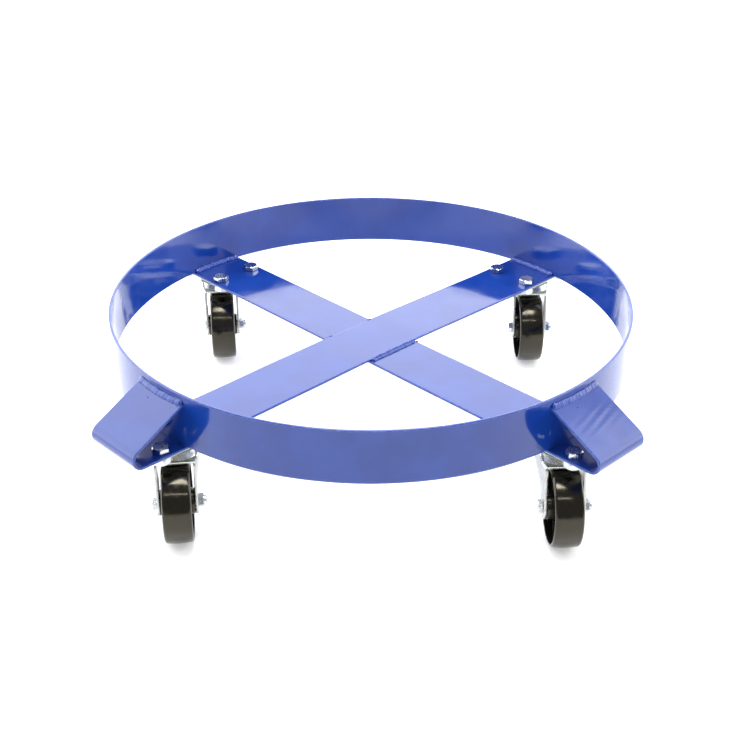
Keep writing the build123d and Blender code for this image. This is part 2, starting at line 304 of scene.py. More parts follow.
@dataclass(frozen=True)
class Layer:
    """A tint that shows through soft-edged patches of noise; its share runs between two values."""

    tint: str
    size_mm: float
    low: float
    high: float
    share: tuple[float, float] = (0.0, 1.0)
    detail: float = 5.0
    roughness: float = 0.7
    distortion: float = 0.0
    on_edges: bool = False


@dataclass(frozen=True)
class Finish:
    """What every finish has: a name, the start and end of its node tree, and its tints and dents."""

    name: str

    def start(self) -> tuple[Tree, Socket]:
        """Make the empty material.

        Returns:
            Its tree, and the object coordinates in metres.
        """
        material = bpy.data.materials.new(self.name)
        material.use_nodes = True
        material.node_tree.nodes.clear()
        return material.node_tree, node(material.node_tree, "TexCoord", output=3)

    def tinted(self, tree: Tree, place: Socket, colour: Any,
               layers: Sequence[Layer]) -> Socket:
        """Mix tints over a colour.

        Args:
            tree: the material's tree.
            place: object coordinates.
            colour: linear colour or socket to start from.
            layers: tints, from the first to the last laid on.

        Returns:
            The colour after the last tint.
        """
        for layer in layers:
            noise = node(tree, "TexNoise", {
                "Vector": place, "Scale": per_metre(layer.size_mm), "Detail": layer.detail,
                "Roughness": layer.roughness, "Distortion": layer.distortion,
            })
            mask = node(tree, "MapRange", {0: noise, 1: layer.low, 2: layer.high, 3: layer.share[0],
                                           4: layer.share[1]}, interpolation_type="SMOOTHSTEP")
            if layer.on_edges:
                edge = node(tree, "Attribute", output=2, attribute_name="edge_wear")
                mask = node(tree, "Math", {0: edge, 1: mask}, operation="MULTIPLY", use_clamp=True)
            colour = node(tree, "Mix", {0: mask, 6: colour, 7: linear(layer.tint)}, 2, data_type="RGBA")
        return colour

    def finish(self, tree: Tree, sockets: dict[str, Any]) -> Material:
        """Add the shader with these sockets and close the tree.

        Args:
            tree: the material's tree.
            sockets: shader socket name to value or link.

        Returns:
            The finished material.
        """
        shader = node(tree, "BsdfPrincipled", sockets)
        tree.nodes.new("ShaderNodeOutputMaterial")
        tree.links.new(shader, tree.nodes[-1].inputs["Surface"])
        return bpy.data.materials[self.name]


@dataclass(frozen=True)
class Enamel(Finish):
    """Sprayed gloss enamel on steel.

    A deep even blue under a clear skin, so it mirrors the room sharply, and the skin's orange peel and the
    steel's slow waves break up the edges of what it mirrors. Paint is thin on corners, which look paler.
    """

    base: str = "#18409C"
    shade: str = "#143890"
    dust: str = "#4A62B8"
    worn: str = "#6F86D8"
    rough: tuple[float, float] = (0.08, 0.17)
    # Real orange peel is 1 to 3 mm across and a few microns deep.
    peel_mm: float = 2.2
    peel_depth_mm: float = 0.010
    lump_mm: float = 26.0
    lump_depth_mm: float = 0.05
    ripple_mm: float = 5.0
    ripple_depth_mm: float = 0.0

    def build(self) -> Material:
        """Make the enamel material."""
        tree, place = self.start()
        colour = self.tinted(tree, place, linear(self.base), (
            Layer(self.shade, 60.0, 0.35, 0.68, detail=4.0, roughness=0.5),
            # Dust nibs and pinholes in the film, about 1 mm, sparse.
            Layer(self.dust, 1.6, 0.70, 0.80, (0.0, 0.35), detail=2.0, roughness=0.6),
            # Thin paint on the rolled edges, broken into nicks of about 5 mm.
            Layer(self.worn, 4.5, 0.42, 0.66, (0.12, 0.38), on_edges=True),
        ))
        haze = node(tree, "TexNoise", {"Vector": place, "Scale": per_metre(38.0), "Detail": 5.0, "Distortion": 0.6})
        low, high = self.rough
        gloss = node(tree, "MapRange", {0: haze, 1: 0.35, 2: 0.7, 3: low, 4: high}, interpolation_type="SMOOTHSTEP")
        lump = node(tree, "TexNoise", {"Vector": place, "Scale": per_metre(self.lump_mm), "Detail": 1.0})
        normal = node(tree, "Bump", {"Height": lump, "Distance": self.lump_depth_mm * MM})
        peel = node(tree, "TexNoise", {"Vector": place, "Scale": per_metre(self.peel_mm), "Detail": 2.0})
        normal = node(tree, "Bump", {"Height": peel, "Distance": self.peel_depth_mm * MM, "Normal": normal})
        if self.ripple_depth_mm > 0.0:
            ripple = node(tree, "TexVoronoi", {"Vector": place, "Scale": per_metre(self.ripple_mm)})
            normal = node(tree, "Bump", {"Height": ripple, "Distance": self.ripple_depth_mm * MM, "Normal": normal})
        return self.finish(tree, {
            "Base Color": colour, "Roughness": gloss, "Normal": normal, "IOR": 1.5,
            "Coat Weight": 0.3, "Coat Roughness": 0.05, "Coat IOR": 1.5,
        })


@dataclass(frozen=True)
class ZincPlate(Finish):
    """Bright electroplated zinc on pressed or headed steel.

    Pale silver with a cool bloom in clouds, faint lines from rolling or drawing, duller handling marks,
    and shallow dents of the press. The race parts get a dark green-grey copy of it, whose darkness is painted shade
    from the bars above.
    """

    base: str = "#CBCDC8"
    bloom: str = "#BEC1BD"
    stain: str = "#A9ACA4"
    rough: tuple[float, float] = (0.22, 0.38)
    cloud_mm: float = 14.0
    # Rolling lines are near 0.1 mm; drawn at 0.9 mm so that they show.
    grain_mm: float = 0.9
    grain_depth_mm: float = 0.003
    dent_mm: float = 9.0
    dent_depth_mm: float = 0.012

    def build(self) -> Material:
        """Make the zinc material."""
        tree, place = self.start()
        colour = self.tinted(tree, place, linear(self.base), (
            Layer(self.bloom, self.cloud_mm, 0.36, 0.66, detail=4.0, roughness=0.6, distortion=0.4),
            Layer(self.stain, 5.0, 0.60, 0.74, (0.0, 0.4), detail=6.0),
        ))
        stretched = node(tree, "Mapping", {0: place, 3: (1.0, 1.0, 0.06)})
        line = node(tree, "TexNoise", {"Vector": stretched, "Scale": per_metre(self.grain_mm), "Detail": 3.0})
        low, high = self.rough
        gloss = node(tree, "MapRange", {0: line, 1: 0.3, 2: 0.7, 3: low, 4: high}, interpolation_type="SMOOTHSTEP")
        dent = node(tree, "TexNoise", {"Vector": place, "Scale": per_metre(self.dent_mm), "Detail": 2.0})
        normal = node(tree, "Bump", {"Height": dent, "Distance": self.dent_depth_mm * MM})
        normal = node(tree, "Bump", {"Height": line, "Distance": self.grain_depth_mm * MM, "Normal": normal})
        return self.finish(tree, {"Base Color": colour, "Metallic": 1.0, "Roughness": gloss, "Normal": normal})


@dataclass(frozen=True)
class MouldedWheel(Finish):
    """Hard black phenolic, pressed hot in a polished mould.

    Brown-black and glossy, with faint flow swirls, fine specks of dust, and a pale scuffed line where the
    mould's halves met and where the rim rubs.
    """

    base: str = "#090807"
    swirl: str = "#0F0D0A"
    dust: str = "#4A473E"
    scuffed: str = "#B5B2A8"
    sheen: str = "#FFF6DC"
    rough: tuple[float, float] = (0.12, 0.22)

    def build(self) -> Material:
        """Make the wheel material."""
        tree, place = self.start()
        colour = self.tinted(tree, place, linear(self.base), (
            Layer(self.swirl, 12.0, 0.4, 0.7, roughness=0.6, distortion=1.6),
            Layer(self.dust, 0.9, 0.66, 0.78, (0.0, 0.35), detail=3.0),
            Layer(self.scuffed, 3.0, 0.42, 0.62, (0.5, 1.0), roughness=0.75, on_edges=True),
        ))
        smear = node(tree, "TexNoise", {"Vector": place, "Scale": per_metre(6.0), "Detail": 5.0, "Distortion": 0.5})
        low, high = self.rough
        gloss = node(tree, "MapRange", {0: smear, 1: 0.35, 2: 0.7, 3: low, 4: high}, interpolation_type="SMOOTHSTEP")
        wave = node(tree, "TexNoise", {"Vector": place, "Scale": per_metre(7.0), "Detail": 1.0})
        normal = node(tree, "Bump", {"Height": wave, "Distance": 0.02 * MM})
        fine = node(tree, "TexNoise", {"Vector": place, "Scale": per_metre(0.7), "Detail": 3.0, "Roughness": 0.6})
        normal = node(tree, "Bump", {"Height": fine, "Distance": 0.005 * MM, "Normal": normal})
        # The dished sides come from an unpolished part of the mould and stay dull.
        edge = node(tree, "Attribute", output=2, attribute_name="edge_wear")
        dull = node(tree, "MapRange", {0: edge, 1: -1.0, 2: 0.0, 3: 0.5, 4: 0.0})
        gloss = node(tree, "Math", {0: gloss, 1: dull}, operation="ADD")
        shine = node(tree, "MapRange", {0: edge, 1: -1.0, 2: 0.0, 3: 0.05, 4: 0.5})
        return self.finish(tree, {
            "Base Color": colour, "Roughness": gloss, "Normal": normal, "IOR": 1.55,
            "Specular IOR Level": shine, "Specular Tint": linear(self.sheen),
        })


@dataclass(frozen=True)
class StudioPaper(Finish):
    """Seamless white paper on a light table: matt, very slightly cloudy, and lit a little from below."""

    base: str = "#FAFAFA"
    cloud: str = "#F8F8F8"
    glow: float = 0.38

    def build(self) -> Material:
        """Make the paper material."""
        tree, place = self.start()
        fibre = node(tree, "TexNoise", {"Vector": place, "Scale": per_metre(300.0), "Detail": 2.0})
        colour = node(tree, "Mix", {0: fibre, 6: linear(self.base), 7: linear(self.cloud)}, 2, data_type="RGBA")
        return self.finish(tree, {
            "Base Color": colour, "Roughness": 0.9, "Specular IOR Level": 0.1,
            "Emission Color": linear("#FFFFFF"), "Emission Strength": self.glow,
        })


@dataclass(frozen=True)
class Palette:
    """All finishes, built once."""

    paint: Material
    weld: Material
    sheet: Material
    race: Material
    fastener: Material
    balls: Material
    wheel: Material
    floor: Material

    @staticmethod
    def mix() -> "Palette":
        """Build every finish of the dolly."""
        return Palette(
            paint=Enamel("royal_blue_enamel").build(),
            weld=Enamel("enamel_over_weld", base="#1D45A6", shade="#173A98", rough=(0.10, 0.20),
                        lump_mm=5.0, lump_depth_mm=0.12, ripple_mm=1.8, ripple_depth_mm=0.05).build(),
            sheet=ZincPlate("zinc_plated_sheet").build(),
            # Dark green-grey zinc for the races, king pins and dust rings: its darkness is painted shade from the bars
            # above them.
            race=ZincPlate("green_zinc_with_painted_shade", base="#5F7067", bloom="#6E8075", stain="#505C55",
                           rough=(0.25, 0.4), cloud_mm=22.0, dent_depth_mm=0.004).build(),
            fastener=ZincPlate("zinc_plated_fastener", base="#DADDDE", bloom="#BEC5C9", stain="#8C8F88",
                               rough=(0.14, 0.30), grain_mm=0.5, dent_mm=4.0, dent_depth_mm=0.02).build(),
            balls=ZincPlate("polished_bearing_steel", base="#C8CACC", bloom="#B8BBBE", stain="#A0A3A6",
                            rough=(0.06, 0.14), dent_depth_mm=0.002).build(),
            wheel=MouldedWheel("black_phenolic").build(),
            floor=StudioPaper("white_paper").build(),
        )


# Steel frame
@dataclass
class RingBand:
    """Flat bar on edge, rolled to a ring."""

    outer: float = 305.0
    thick: float = 3.0
    bottom: float = 116.0
    height: float = 62.0
    corner: float = 0.8
    segments: int = 480

    def wave(self, angle: Array, height: Array) -> Array:
        """Small out-of-round left by rolling and by the heat of the welds.

        Args:
            angle: direction round the ring, radians.
            height: 0 at the lower edge to 1 at the upper edge.

        Returns:
            Radial offset in millimetres: slow sines of the angle, less a dip at each weld.
        """
        slow = 0.28 * np.sin(2 * angle + 0.6) + 0.14 * np.sin(5 * angle + 1.9 + height)
        fine = 0.05 * np.sin(13 * angle + 2.0 * height) + 0.03 * np.sin(29 * angle + 0.7 - height)
        away = (angle + TAU / 8) % (TAU / 4) - TAU / 8
        dip = 0.35 * np.exp(-((away / 0.13) ** 2)) * (1.0 - 0.6 * height)
        return slow + fine - dip

    def shell(self) -> Shell:
        """Carry the rounded band section round the axis and add the waves."""
        outline, mark = rounded_bar_outline(self.thick, self.height, self.corner, 1, 10)
        profile = outline + [self.outer - self.thick / 2, self.bottom + self.height / 2]
        points = revolve(profile, self.segments)
        angle = np.arctan2(points[..., 1], points[..., 0])
        level = (points[..., 2] - self.bottom) / self.height
        radius = np.hypot(points[..., 0], points[..., 1])
        scale = (radius + self.wave(angle, level)) / radius
        points = points * np.stack([scale, scale, np.ones_like(scale)], -1)
        edge = np.broadcast_to(mark, points.shape[:2])
        return Shell().grid(points, wrap_u=True, wrap_v=True, edge=edge)

    def build(self, palette: Palette) -> None:
        """Make the ring."""
        self.shell().piece("Ring_band", "frame", palette.paint, Slot.PAINT, ["ring_band"])


@dataclass
class CrossBar:
    """Flat bar through the middle, both ends folded up and back into loops."""

    name: str
    node: str
    hump: float
    turn: float
    ripple_ends: tuple[float, float] = (0.2, 0.2)
    width: float = 75.0
    thick: float = 3.0
    corner: float = 0.8
    bottom: float = 113.0
    hump_flat: float = 46.0
    hump_end: float = 236.0
    fold_centre: float = 356.5
    fold_radius: float = 12.5
    leg_angle: float = 28.0
    leg_end: float = 303.0
    ripple_at: float = 333.0
    ripple_depth: float = 0.07

    def half_path(self) -> Array:
        """Middle line of half a bar in its side view.

        Returns:
            Array (n, 2) of distance along the bar and height: an eased ramp off the crossing, a flat run,
            an arc of the fold, and the straight leg back up to the ring.
        """
        middle = self.bottom + self.thick / 2
        run = np.linspace(0.0, self.fold_centre, 190)[:-1]
        t = np.clip((self.hump_end - run) / (self.hump_end - self.hump_flat), 0.0, 1.0)
        soft = 0.06
        eased = (np.clip(t, soft, 1.0 - soft) - soft / 2) / (1.0 - soft)
        eased -= np.clip(soft - t, 0.0, None) * (soft + t) / (2 * soft * (1.0 - soft))
        eased += np.clip(t - 1.0 + soft, 0.0, None) * (1.0 + soft - t) / (2 * soft * (1.0 - soft))
        flat = np.stack([run, middle + self.hump * np.clip(eased, 0.0, 1.0)], 1)
        radius = self.fold_radius - self.thick / 2
        fold = arc_points((self.fold_centre, self.bottom + self.fold_radius), radius, -90.0, 90.0 - self.leg_angle, 30)
        slope = math.radians(self.leg_angle)
        reach = np.linspace(0.0, (fold[-1, 0] - self.leg_end) / math.cos(slope), 46)[1:, None]
        leg = fold[-1] + reach * [-math.cos(slope), math.sin(slope)]
        return np.concatenate([flat, fold, leg])

    def shell(self) -> Shell:
        """Carry the rounded bar section along the path; the normal is the path's tangent turned upright.

        Returns:
            The bar as one closed skin, with a faint hand-bent unevenness on its legs.
        """
        half = self.half_path()
        path = np.concatenate([half[::-1] * [-1.0, 1.0], half[1:]])
        tangent = np.gradient(path, axis=0)
        tangent /= np.linalg.norm(tangent, axis=1)[:, None]
        normal = np.stack([-tangent[:, 1], tangent[:, 0]], 1)
        outline, mark = rounded_bar_outline(self.width, self.thick, self.corner, 26, 1)
        along = np.broadcast_to(path[:, None, 0], (len(path), len(outline)))
        across = np.broadcast_to(outline[None, :, 0], along.shape)
        out = np.abs(along)
        fade = smooth_step((out - self.leg_end) / 10.0) * smooth_step((self.fold_centre - 0.5 - out) / 12.0)
        is_leg = (path[:, 1] > self.bottom + self.fold_radius)[:, None]
        strength = np.where(along > 0, self.ripple_ends[1], self.ripple_ends[0]) * is_leg
        spot = np.exp(-((out - self.ripple_at - 0.12 * across) / 11.0) ** 2 - (across / 30.0) ** 4)
        ripple = np.sin(out * 0.95 + 0.25 * across) * np.cos(across * 0.42 + out * 0.2)
        slow = 0.05 * np.sin(along * 0.021 + 0.8) * np.cos(across * 0.05) + 0.03 * np.sin(along * 0.06 + across * 0.09)
        lift = outline[None, :, 1] + slow + fade * strength * spot * ripple * self.ripple_depth
        x = path[:, 0][:, None] + normal[:, 0][:, None] * lift
        z = path[:, 1][:, None] + normal[:, 1][:, None] * lift
        points = np.stack([x, across, z], -1)
        turned = points @ placed(0, 0, 0, self.turn)[:3, :3].T
        return Shell().grid(turned, wrap_v=True, edge=np.broadcast_to(mark, along.shape), caps=True)

    def build(self, palette: Palette) -> None:
        """Make the bar."""
        self.shell().piece(self.name, "frame", palette.paint, Slot.PAINT, [self.node])


@dataclass
class WeldBead:
    """One run of weld metal with its ripples, under paint."""

    wide: float
    tall: float
    pitch: float = 2.6
    seed: float = 0.0
    rough: float = 1.0

    def shell(self, path: Array, up: Array, side: Array) -> Shell:
        """Carry a lumpy oval along a path.

        Args:
            path: array (n, 3) of the bead's middle line in millimetres.
            up: array (n, 3) or (3,), the direction the bead stands out in.
            side: array (n, 3) or (3,), the direction across the bead.

        Returns:
            Closed bead: the oval's size follows sines of the distance (ripples that lag at its sides)
            and eases to a rounded end.
        """
        step = np.linalg.norm(np.diff(path, axis=0), axis=1)
        run = np.concatenate([[0.0], np.cumsum(step)])
        total = run[-1]
        turn = np.arange(18) * TAU / 18
        s, a = run[:, None], turn[None, :]
        ripple = 0.085 * np.cos(TAU * s / self.pitch - 1.3 * np.abs(np.cos(a)) * 2.0)
        lump = 0.10 * np.sin(s * 0.47 + self.seed) + 0.07 * np.sin(s * 1.13 + 2.1 * self.seed + a)
        grain = 0.04 * np.sin(s * 3.9 + 3.0 * a + self.seed) * np.sin(s * 2.3 - 2.0 * a)
        size = 1.0 + self.rough * (ripple + lump + grain)
        taper = np.sqrt(np.clip(np.minimum(s, total - s) / 3.2, 0.0, 1.0) * 0.96 + 0.04)
        up = np.broadcast_to(up, path.shape)[:, None, :]
        side = np.broadcast_to(side, path.shape)[:, None, :]
        ring = (np.cos(a)[..., None] * side * self.wide + np.sin(a)[..., None] * up * self.tall) / 2
        wander = 0.25 * self.rough * np.sin(s * 0.31 + self.seed)[..., None] * side
        points = path[:, None, :] + ring * (size * taper)[..., None] + wander
        return Shell().grid(points, wrap_v=True, caps=True)


def droplet(x: float, y: float, z: float, size: float) -> Shell:
    """A drop of spatter: a small flattened ball.

    Args:
        x: middle, millimetres.
        y: middle, millimetres.
        z: middle, millimetres.
        size: radius, millimetres.

    Returns:
        Ball of eight by six faces, from latitude and longitude.
    """
    lat = np.linspace(-math.pi / 2, math.pi / 2, 7)[:, None]
    lon = (np.arange(8) * TAU / 8)[None, :]
    ball = np.stack([np.cos(lat) * np.cos(lon), np.cos(lat) * np.sin(lon), 0.8 * np.sin(lat) + 0 * lon], -1)
    return Shell().grid(ball * size + [x, y, z], wrap_v=True)


@dataclass
class Welds:
    """All weld runs of the frame."""

    bar_top: float = 116.0
    bar_width: float = 75.0
    ring_inner: float = 302.0
    ring_outer: float = 305.0
    leg_seat: float = 167.0
    leg_angle: float = 28.0

    def arc(self, radius: float, z: float, half_width: float, direction: float,
            count: int = 230) -> tuple[Array, Array]:
        """Arc round the ring, with its outward directions.

        Args:
            radius: arc radius.
            z: height.
            half_width: half the arc's width across the bar.
            direction: middle of the arc in degrees.
            count: number of points.

        Returns:
            Points (n, 3) and outward unit vectors (n, 3).
        """
        spread = math.asin(half_width / radius)
        angle = math.radians(direction) + np.linspace(-spread, spread, count)
        out = np.stack([np.cos(angle), np.sin(angle), 0 * angle], 1)
        return out * radius + [0, 0, z], out

    def ring_runs(self) -> Shell:
        """Beads on the bar tops along the inside of the ring, a little rope-like."""
        shell = Shell()
        for index in range(4):
            path, out = self.arc(self.ring_inner - 2.0, self.bar_top + 2.0, self.bar_width / 2 - 2.0, 90.0 * index)
            up = (np.array([0, 0, 1.0]) - out) / math.sqrt(2.0)
            side = (np.array([0, 0, 1.0]) + out) / math.sqrt(2.0)
            shell.add(WeldBead(wide=7.4, tall=4.0, pitch=2.9, seed=1.7 * index + 0.4, rough=0.8).shell(path, up, side))
            for k, (across, drop) in enumerate(((-0.9, 1.3), (0.95, 1.0), (0.4, 0.8), (-0.5, 0.7))):
                direction = 90.0 * index + math.degrees(across * 37.0 / self.ring_inner)
                spot, _ = self.arc(self.ring_inner - 8.5 - 2.2 * k, self.bar_top + 0.2, 0.1, direction, 2)
                shell.add(droplet(*spot[0], drop))
        return shell

    def loop_runs(self) -> Shell:
        """Beads along the top of each loop's leg at the ring, with spatter."""
        shell = Shell()
        slope = math.radians(self.leg_angle)
        for index in range(4):
            path, out = self.arc(self.ring_outer + 1.6, self.leg_seat + 0.6, self.bar_width / 2 - 0.6, 90.0 * index)
            across = np.linspace(-1, 1, len(path))
            path = path + np.stack([0 * across, 0 * across, 1.4 * across ** 2], 1)
            lean = math.radians(90 - 0.5 * (90 + self.leg_angle))
            up = out * math.cos(lean) + np.array([0, 0, math.sin(lean)])
            side = -out * math.sin(lean) + np.array([0, 0, math.cos(lean)])
            shell.add(WeldBead(wide=7.6, tall=3.0, pitch=2.7, seed=0.9 + 2.3 * index, rough=0.6).shell(path, up, side))
            for k, (across_at, down, drop) in enumerate(((-30.0, 9.0, 1.0), (-34.0, 3.5, 1.5), (33.0, 4.0, 1.6),
                                                          (26.0, 8.0, 0.8), (-8.0, 10.0, 0.7), (35.0, 10.0, 0.9))):
                direction = 90.0 * index + math.degrees(across_at / self.ring_outer)
                z = self.leg_seat - down * math.tan(slope) + 0.3
                spot, _ = self.arc(self.ring_outer + down, z, 0.1, direction, 2)
                shell.add(droplet(*spot[0], drop))
        return shell

    def crossing_runs(self) -> Shell:
        """Full bead on the front edge of the crossing and two tacks on its back edge."""
        shell = Shell()
        edge = self.bar_width / 2
        for side, centre, length, seed in ((-1.0, 0.0, 72.0, 0.3), (1.0, -32.0, 10.0, 2.2), (1.0, 32.0, 10.0, 4.0)):
            x = centre + np.linspace(-length / 2, length / 2, int(length * 3.2))
            path = np.stack([x, 0 * x + side * (edge + 1.4), 0 * x + self.bar_top + 1.1], 1)
            up = np.array([0.0, side, 1.0]) / math.sqrt(2.0)
            across = np.array([0.0, side, -1.0]) / math.sqrt(2.0)
            shell.add(WeldBead(wide=6.4, tall=2.6, pitch=3.0, seed=seed, rough=0.6).shell(path, up, across))
        for x, y in ((-38.0, -41.5), (37.5, -40.5), (-36.5, 40.5), (38.0, 40.0)):
            shell.add(droplet(x, y, self.bar_top + 0.3, 1.3))
        return shell

    def build(self, palette: Palette) -> None:
        """Make the three groups of weld."""
        self.ring_runs().piece("Ring_weld_beads", "frame", palette.weld, Slot.WELD, ["ring_weld_beads"], 60.0)
        self.loop_runs().piece("Loop_weld_beads", "frame", palette.weld, Slot.WELD, ["loop_weld_beads"], 60.0)
        self.crossing_runs().piece("Centre_weld_beads", "frame", palette.weld, Slot.WELD, ["centre_weld_beads"], 60.0)


# Fasteners
@dataclass(frozen=True)
class Hexagon:
    """Shape of a hex head or nut."""

    across_flats: float
    height: float
    shank: float
    steps: int = 72

    def side(self, angle: Array) -> Array:
        """Distance from the axis to the hexagon's side: half the flats over the cosine off the flat's middle."""
        sector = (angle + math.pi / 6) % (math.pi / 3) - math.pi / 6
        return self.across_flats / 2 / np.cos(sector)

    def rings(self, rows: Sequence[tuple[Any, Any]], angle: Array) -> Array:
        """Stack rings of radius and height into a grid.

        Args:
            rows: radius and height of each ring, a number or an array over the angle.
            angle: directions of the columns.

        Returns:
            Array (rows, columns, 3).
        """
        made = []
        for radius, height in rows:
            r, z = np.broadcast_to(radius, angle.shape), np.broadcast_to(height, angle.shape)
            made.append(np.stack([r * np.cos(angle), r * np.sin(angle), z], 1))
        return np.stack(made)

    def outline(self) -> tuple[Array, float, Array, Array]:
        """Directions and sizes that heads and nuts share.

        Returns:
            Directions, radius of the circle where the turned corners start, radius of the hexagon, and how
            far its corners fall at the turning tool's 30 degrees.
        """
        angle = np.arange(self.steps) * TAU / self.steps
        circle = 0.95 * self.across_flats / 2
        corner = self.side(angle)
        return angle, circle, corner, np.clip(corner - circle, 0.0, None) * math.tan(math.radians(30.0))

    def head(self) -> Shell:
        """Head standing on z = 0: washer face, six sides, turned corners, slightly dished top."""
        angle, circle, corner, fall = self.outline()
        half, top = self.across_flats / 2, self.height
        rows = [
            (0.0, 0.0), (0.93 * half, 0.0), (0.95 * half, 0.35), (corner - 0.25, 0.4), (corner, 0.65),
            (corner, top - fall - 0.3), (corner - 0.2, top - fall), (circle, top), (0.90 * half, top - 0.05),
            (0.70 * half, top - 0.22), (0.35 * half, top - 0.3), (0.0, top - 0.3),
        ]
        return Shell().grid(self.rings(rows, angle), wrap_v=True)

    def nut(self, collar: float = 0.0) -> Shell:
        """Nut from z = 0 up, both ends chamfered, with a round hole.

        Args:
            collar: height of a rounded collar that holds a locking ring, or 0 for a plain nut.

        Returns:
            The closed nut.
        """
        angle, circle, corner, fall = self.outline()
        top, hole, rim = self.height, self.shank, circle - 0.15
        bevel = 0.6 if collar else 0.7
        rows = [
            (hole, 0.6), (hole + bevel, 0.0), (circle, 0.0), (corner - 0.2, fall), (corner, fall + 0.3),
            (corner, top - fall - 0.3), (corner - 0.2, top - fall),
        ]
        rows += [
            (rim, top), (rim, top + collar * 0.55), (rim - 0.35, top + collar * 0.85), (rim - 1.0, top + collar),
            (hole + 0.5, top + collar - 0.15), (hole, top + collar - 0.5),
        ] if collar else [(circle, top), (hole + bevel, top), (hole, top - 0.6)]
        return Shell().grid(self.rings(rows, angle), wrap_u=True, wrap_v=True)

    def thread(self, low: float, high: float, pitch: float) -> Shell:
        """Threaded shank end between two heights.

        Args:
            low: height of the rounded tip.
            high: height where it goes into the nut.
            pitch: thread pitch.

        Returns:
            Closed screw: the radius follows a wave of height over pitch less the angle, eased in at the tip.
        """
        angle = (np.arange(28) * TAU / 28)[None, :]
        z = np.linspace(low, high, max(8, int((high - low) / pitch * 8)))[:, None]
        wave = 0.5 + 0.5 * np.cos(TAU * z / pitch - angle)
        tip = smooth_step((z - low) / 0.9)
        radius = (self.shank - 0.62 * pitch * wave) * (0.86 + 0.14 * tip)
        points = np.stack([radius * np.cos(angle), radius * np.sin(angle), z + 0 * angle], -1)
        return Shell().grid(points, wrap_v=True, caps=True)


@dataclass
class PlateFasteners:
    """The sixteen bolts and nuts that hold the casters to the bars."""

    bar_top: float = 116.0
    nut_face: float = 110.2
    circle: float = 292.5
    along: float = 34.5
    across: float = 25.0
    flats: float = 17.0
    head_height: float = 6.4
    nut_height: float = 8.0
    shank: float = 5.0
    tip: float = 2.5

    def places(self) -> list[tuple[float, float, float]]:
        """Position of every bolt and how its head happens to be turned.

        Returns:
            List of x, y in millimetres and a turn in degrees that follows from the bolt's number.
        """
        made = []
        for corner in range(4):
            spin = placed(0, 0, 0, 90.0 * corner)
            for k, (a, b) in enumerate(((-1, -1), (-1, 1), (1, -1), (1, 1))):
                spot = spin[:3, :3] @ np.array([self.circle + a * self.along, b * self.across, 0.0])
                made.append((float(spot[0]), float(spot[1]), (corner * 37.0 + k * 23.0) % 60.0))
        return made

    def build(self, palette: Palette) -> None:
        """Make the bolts and the nuts."""
        head = Hexagon(self.flats, self.head_height, self.shank)
        nut = Hexagon(self.flats, self.nut_height, self.shank)
        bolts, nuts = Shell(), Shell()
        low = self.nut_face - self.nut_height - self.tip
        for x, y, turn in self.places():
            bolts.add(head.head(), placed(x, y, self.bar_top, turn))
            bolts.add(head.thread(low, low + self.tip + 1.5, 1.5), placed(x, y, 0.0, turn))
            nuts.add(nut.nut(), placed(x, y, self.nut_face - self.nut_height, turn + 17.0))
        bolts.piece("Plate_bolts", "frame", palette.fastener, Slot.FASTENER, ["plate_bolts"], 25.0)
        nuts.piece("Plate_nuts", "frame", palette.fastener, Slot.FASTENER, ["plate_nuts"], 25.0)


